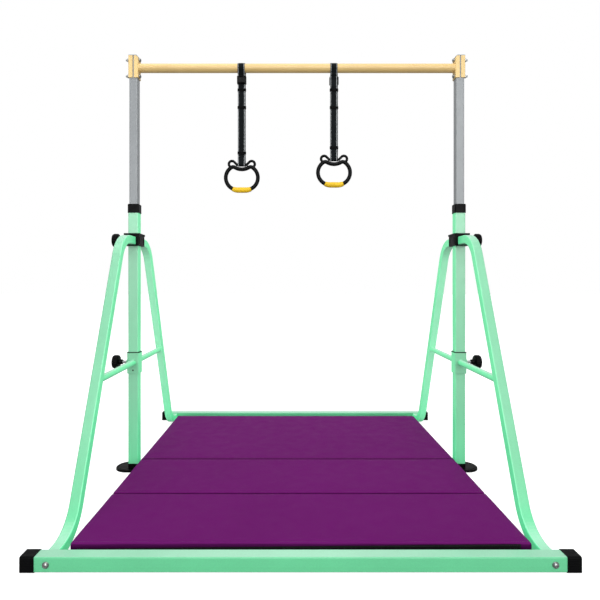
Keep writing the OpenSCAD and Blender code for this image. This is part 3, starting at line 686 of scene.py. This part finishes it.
def puff(verts, faces, cap):
    """Runs a short cloth inflation and returns how far each point moved, capped."""
    frames = 20
    obj = make("puff_test", verts, faces, vinyl_material)
    mod = obj.modifiers.new("cloth", "CLOTH")
    c = mod.settings
    c.quality = 5
    c.mass = 0.25
    c.tension_stiffness = 25
    c.compression_stiffness = 25
    c.shear_stiffness = 12
    c.bending_stiffness = 1.2
    c.use_pressure = True
    c.uniform_pressure_force = 4.0
    c.effector_weights.gravity = 0
    mod.collision_settings.use_collision = False
    scene = bpy.context.scene
    mod.point_cache.frame_start = 1
    mod.point_cache.frame_end = frames
    for f in range(1, frames + 1):
        scene.frame_set(f)
    blown = obj.evaluated_get(bpy.context.evaluated_depsgraph_get())
    after = np.array([v.co for v in blown.data.vertices], float)
    moved = after - verts
    dist = np.linalg.norm(moved, axis=1)
    k = cap * np.tanh(dist / cap) / np.maximum(dist, 1e-9)
    bpy.data.objects.remove(obj)
    scene.frame_set(1)
    return moved * k[:, None]


def interpolate(points, source, values, k=6):
    """Inverse-distance blend of the values at the nearest source points."""
    tree = KDTree(len(source))
    for i, p in enumerate(source):
        tree.insert(Vector(p), i)
    tree.balance()
    out = np.zeros((len(points), values.shape[1]))
    for i, p in enumerate(points):
        found = tree.find_n(Vector(p), k)
        w = np.array([1 / (d + 0.002) ** 2 for _, _, d in found])
        out[i] = (values[[f[1] for f in found]] * w[:, None]).sum(0) / w.sum()
    return out


def surface_noise(co, at, upper, inset, lo, hi):
    """Adds a light ripple to the top, puckers along its sewn edge and dents to the walls."""
    for i, p in enumerate(at):
        if upper[i]:
            ripple = noise.noise(Vector((p[0] * 5.5, p[1] * 5.5, 1.7)))
            pucker = noise.noise(Vector((p[0] * 42, p[1] * 42, 9.1)))
            near_edge = math.exp(-max(inset[i], 0) / (22 * MM))
            co[i, 2] += 0.35 * MM * ripple + 0.55 * MM * (pucker * near_edge)
        elif p[2] > lo[2] + 6 * MM:
            dent = 0.5 * MM + 0.5 * MM * noise.noise(Vector((p[0] * 18, p[1] * 18, p[2] * 30)))
            for axis in (0, 1):
                if hi[axis] - p[axis] < 3 * MM:
                    co[i, axis] -= dent
                elif p[axis] - lo[axis] < 3 * MM:
                    co[i, axis] += dent


def mat_panel(node, body):
    """A padded panel: rounded foam edge, sewn border, light puckers and a puffed cover."""
    lo, hi = (np.array(c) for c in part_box(node))
    top_z = hi[2]
    lo, hi = lo + np.array(cover_low) * MM, hi + np.array(cover_high) * MM
    edge = [0, 1.5 * MM, 3.5 * MM, 6 * MM, 8 * MM, 9.5 * MM, 11 * MM, 13.5 * MM, 19 * MM, 27 * MM]
    xs = grid_axis(lo[0], hi[0], edge, 13 * MM)
    ys = grid_axis(lo[1], hi[1], edge, 13 * MM)
    zs = np.array([0, 1.5, 4, 8, 14, 20, 26, 32, 36, 39, 41.3, 42.8]) * MM
    zs = zs * (hi[2] - lo[2]) / zs[-1] + lo[2]
    verts, faces = box_mesh(xs, ys, zs)
    rest = rounded(verts, lo, hi, foam_edge)
    co = rest.copy()
    cx = np.linspace(lo[0], hi[0], max(6, int((hi[0] - lo[0]) / (24 * MM))))
    cy = np.linspace(lo[1], hi[1], max(6, int((hi[1] - lo[1]) / (24 * MM))))
    coarse, coarse_faces = box_mesh(cx, cy, np.linspace(lo[2], hi[2], 4))
    coarse = rounded(coarse, lo, hi, foam_edge)
    co += interpolate(rest, coarse, puff(coarse, coarse_faces, 2.4 * MM))
    upper = rest[:, 2] > hi[2] - 3 * MM
    inset = np.minimum(rest - lo, hi - rest)[:, :2].min(axis=1)
    groove = np.exp(-((inset - border) / (1.6 * MM)) ** 2) * upper
    co[:, 2] -= 1.0 * MM * groove
    surface_noise(co, rest, upper, inset, lo, hi)
    co[:, 0] = np.clip(co[:, 0], lo[0] - 0.8 * MM, hi[0] + 0.8 * MM)
    co[:, 1] = np.clip(co[:, 1], lo[1] - 0.3 * MM, hi[1] + 0.3 * MM)
    co[:, 2] = np.clip(co[:, 2], 0.9 * MM, top_z - 0.1 * MM)
    obj = make(node + "_cover", co, faces, vinyl_material)
    sub = obj.modifiers.new("subdivision", "SUBSURF")
    sub.levels = 1
    sub.render_levels = 1
    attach(obj, body)
    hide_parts(node)
    z = float(np.median(co[(groove > 0.8), 2])) + 0.1 * MM
    (x0, y0), (x1, y1) = lo[:2] + border, hi[:2] - border
    corners = [(x0, y0, z), (x1, y0, z), (x1, y1, z), (x0, y1, z)]
    runs = [(corners[i], corners[(i + 1) % 4], (0, 0, 1)) for i in range(4)]
    stitches(node + "_border_stitch", runs, 4.2 * MM, 0.5 * MM, 1.6 * MM, mat_thread, body)


for panel in ("mat_rear", "mat_middle", "mat_front"):
    mat_panel(panel + "_panel", panel)


def hinge_strip(name, node, top):
    """Fabric hinge along a seam, dipping a little between the panels behind and ahead of it."""
    lo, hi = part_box(node)
    y0 = (lo.y + hi.y) / 2
    panel_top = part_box("mat_rear_panel")[1].z
    xs = np.linspace(lo.x - 1.2 * MM, hi.x + 6.2 * MM, 240)
    rows = [-9.0, -8.6, -7.0, -5.0, -3.4, -2.2, -1.2, -0.5, 0, 0.5, 1.2, 2.2, 3.4, 5.0, 7.0, 8.6, 9.0]
    verts, faces = [], []
    for layer in (0, 1):
        for x in xs:
            for r in rows:
                dip = math.exp(-(r / 2.4) ** 2)
                wobble = 0.125 * noise.noise(Vector((x * 30, r * 0.1, 3.3))) * (1 - dip)
                fall = 1.9 * dip + (0.25 if abs(r) > 8.8 else 0)
                if top:
                    z = panel_top - (0.75 + fall + wobble + 0.7 * layer) * MM
                else:
                    z = (0.15 + 0.5 * fall + 0.5 * (1 - layer)) * MM
                verts.append((x, y0 + r * MM, z))
    n = len(rows)
    m = len(xs) * n
    for i in range(len(xs) - 1):
        for j in range(n - 1):
            q = (i * n + j, (i + 1) * n + j, (i + 1) * n + j + 1, i * n + j + 1)
            faces.append(q)
            faces.append(tuple(m + k for k in q[::-1]))
    last = (len(xs) - 1) * n
    for j in range(n - 1):
        faces.append((j, j + 1, m + j + 1, m + j))
        faces.append((last + j + 1, last + j, m + last + j, m + last + j + 1))
    for low in range(0, last, n):
        high = low + n - 1
        faces.append((low, m + low, m + low + n, low + n))
        faces.append((high, high + n, m + high + n, m + high))
    obj = make(name, verts, faces, seam_material)
    z = panel_top if top else 0.0
    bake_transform(obj)
    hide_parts(node)


hinge_strip("mat_rear_hinge", "mat_rear_seam", True)
hinge_strip("mat_front_hinge", "mat_front_seam", False)


def tape_strip(node, body, outward):
    """Hook-and-loop tape sewn on an outer edge, slightly wavy, its top edge rising to the right."""
    lo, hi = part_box(node)
    xs = np.linspace(lo.x + 4 * MM, hi.x - 12 * MM, 220)
    rows = np.linspace(0, 1, 8)
    face = lo.y if outward < 0 else hi.y
    verts, faces = [], []
    for x in xs:
        top = hi.z + (-2.8 + 11.6 * (x - lo.x) / (hi.x - lo.x)) * MM
        for row in rows:
            z = lo.z + (top - lo.z) * row
            wave = 0.21 * MM * noise.noise(Vector((x * 12, z * 20, 4.2)))
            y = face - outward * (0.5 * MM + wave)
            verts.append((x, y, z + 0.4 * MM * noise.noise(Vector((x * 9, 0.0, 7.7)))))
    n = len(rows)
    for i in range(len(xs) - 1):
        for j in range(n - 1):
            q = (i * n + j, (i + 1) * n + j, (i + 1) * n + j + 1, i * n + j + 1)
            faces.append(q if outward < 0 else q[::-1])
    obj = make(node + "_tape", verts, faces, tape_material)
    solid = obj.modifiers.new("thickness", "SOLIDIFY")
    solid.thickness = 1.2 * MM
    solid.offset = -1
    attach(obj, body)
    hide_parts(node)
    y = face - outward * 0.3 * MM
    a, b = xs[0] + 3 * MM, xs[-1] - 3 * MM
    runs = [((a, y, lo.z + 2.5 * MM), (b, y, lo.z + 2.5 * MM), (0, outward, 0)),
            ((a, y, hi.z - 5.2 * MM), (b, y, hi.z + 6.2 * MM), (0, outward, 0))]
    stitches(node + "_stitch", runs, 3.4 * MM, 0.35 * MM, 1.4 * MM, tape_thread, body)


tape_strip("mat_front_strip", "mat_front", -1)
tape_strip("mat_rear_strip", "mat_rear", 1)


# ---------------------------------------------------------------- stage

def stage_floor():
    """Plain floor, bright to the camera and a mid grey to everything it lights."""
    mesh = bpy.data.meshes.new("floor")
    size = 30.0
    corners = [(-size, -size, 0), (size, -size, 0), (size, size, 0), (-size, size, 0)]
    mesh.from_pydata(corners, [], [(0, 1, 2, 3)])
    obj = bpy.data.objects.new("floor", mesh)
    bpy.context.scene.collection.objects.link(obj)
    s = Shade("studio_floor")
    seen_by_camera = s.add("ShaderNodeLightPath").outputs["Is Camera Ray"]
    tone = s.ramp(s.noise(3.0, 2.0), (0.3, 0.50), (0.7, 0.52))
    s.set(color=s.mix(seen_by_camera, (0.42, 0.43, 0.42, 1), tone), rough=0.9, spec=0.0)
    s.bsdf.inputs["Emission Color"].default_value = (1, 1, 1, 1)
    s.put(s.bsdf.inputs["Emission Strength"], s.math("MULTIPLY", seen_by_camera, 0.80))
    mesh.materials.append(s.mat)
    obj.location.z = -0.0002


def area(name, loc, target, size, power):
    """Soft box that the camera doesn't see."""
    data = bpy.data.lights.new(name, "AREA")
    data.shape = "RECTANGLE"
    data.size, data.size_y = size
    data.energy = power
    obj = bpy.data.objects.new(name, data)
    obj.location = loc
    obj.rotation_euler = (Vector(target) - Vector(loc)).to_track_quat("-Z", "Y").to_euler()
    bpy.context.scene.collection.objects.link(obj)
    obj.visible_camera = False
    return obj


def sun(name, turn, energy, spread):
    """Soft directed light; the turn and the spread are in degrees."""
    data = bpy.data.lights.new(name, "SUN")
    data.energy = energy
    data.angle = math.radians(spread)
    obj = bpy.data.objects.new(name, data)
    obj.rotation_euler = [math.radians(a) for a in turn]
    bpy.context.scene.collection.objects.link(obj)
    return obj


def wash(name, nodes, turn, energy):
    """Soft bounce light for some painted tubes only, shaded by nothing but themselves."""
    group = bpy.data.collections.new(name)
    for node in nodes:
        group.objects.link(frame["nodes"][node])
    lamp = sun(name, turn, energy, 60)
    lamp.light_linking.receiver_collection = group
    lamp.light_linking.blocker_collection = group


stage_floor()
back_place, back_target, back_size = (0, 4.8, 3.2), (0, 0, 0.3), (5.0, 2.2)
area("key_top", (-0.3, -0.9, 4.0), (0, 0.1, 0.3), (3.2, 2.6), 56)
area("front_high", (0.5, -4.8, 3.3), (0, 0, 0.9), (3.4, 1.8), 34)
sun("soft_front", (88, 0, 4), 2.4, 50)
area("back_sheet", back_place, back_target, back_size, 95).visible_glossy = False

# a sheen on the cross tubes' top faces, from the same place as the back sheet
tubes = bpy.data.collections.new("cross_tubes")
for tube in ("front_cross_tube", "rear_cross_tube"):
    tubes.objects.link(frame["nodes"][tube])
sheen = area("tube_sheen", back_place, back_target, back_size, 90)
sheen.visible_diffuse = False
sheen.light_linking.receiver_collection = tubes

wash("rear_wash", ("left_rear_leg", "right_rear_leg"), (100, 0, 0), 3.2)
wash("post_wash", ("left_outer_post", "right_outer_post"), (96, 0, 0), 0.6)
for side, turn in (("left", 74), ("right", -74)):
    nodes = [side + part for part in ("_front_leg", "_rear_leg", "_outer_post", "_brace")]
    wash(side + "_wash", nodes, (0, turn, 0), 3.1)

# the world: white to the camera, graded grey to everything it lights
world = bpy.data.worlds.new("studio")
bpy.context.scene.world = world
world.use_nodes = True
tree = world.node_tree
tree.nodes.clear()
out = tree.nodes.new("ShaderNodeOutputWorld")
path = tree.nodes.new("ShaderNodeLightPath")
seen, lit = (tree.nodes.new("ShaderNodeBackground") for _ in range(2))
pick = tree.nodes.new("ShaderNodeMixShader")
direction = tree.nodes.new("ShaderNodeTexCoord")
split = tree.nodes.new("ShaderNodeSeparateXYZ")
lift = tree.nodes.new("ShaderNodeMath")
lift.operation = "MULTIPLY_ADD"
lift.inputs[1].default_value = lift.inputs[2].default_value = 0.5
sky = tree.nodes.new("ShaderNodeValToRGB")
while len(sky.color_ramp.elements) < 4:
    sky.color_ramp.elements.new(0.5)
levels = ((0.40, 0.24), (0.52, 0.56), (0.70, 0.60), (1.0, 0.62))  # grey from below to above
for element, (pos, level) in zip(sky.color_ramp.elements, levels):
    element.position = pos
    element.color = (level, level * 1.01, level * 1.02, 1)
tree.links.new(direction.outputs["Generated"], split.inputs[0])
tree.links.new(split.outputs[2], lift.inputs[0])
tree.links.new(lift.outputs[0], sky.inputs[0])
tree.links.new(sky.outputs[0], lit.inputs["Color"])
lit.inputs["Strength"].default_value = 1.0
seen.inputs["Color"].default_value = (1, 1, 1, 1)
seen.inputs["Strength"].default_value = 1.0
tree.links.new(path.outputs["Is Camera Ray"], pick.inputs["Fac"])
tree.links.new(lit.outputs[0], pick.inputs[1])
tree.links.new(seen.outputs[0], pick.inputs[2])
tree.links.new(pick.outputs[0], out.inputs["Surface"])

# the camera: level, with the object a little off its axis; shifts are in widths of the frame
cam_data = bpy.data.cameras.new("camera")
cam_data.sensor_width = 36
cam_data.lens = 30
cam_data.shift_x = 0.01667
cam_data.shift_y = -0.02783
cam_data.clip_start = 0.05
cam = bpy.data.objects.new("camera", cam_data)
camera_gap = 1.227  # from the camera to the front cross tube
cam.location = (-0.026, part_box("front_cross_tube")[0].y - camera_gap, 0.712)
cam.rotation_euler = (math.radians(90), 0, 0)
bpy.context.scene.collection.objects.link(cam)
bpy.context.scene.camera = cam
bpy.context.scene.view_settings.view_transform = "Standard"
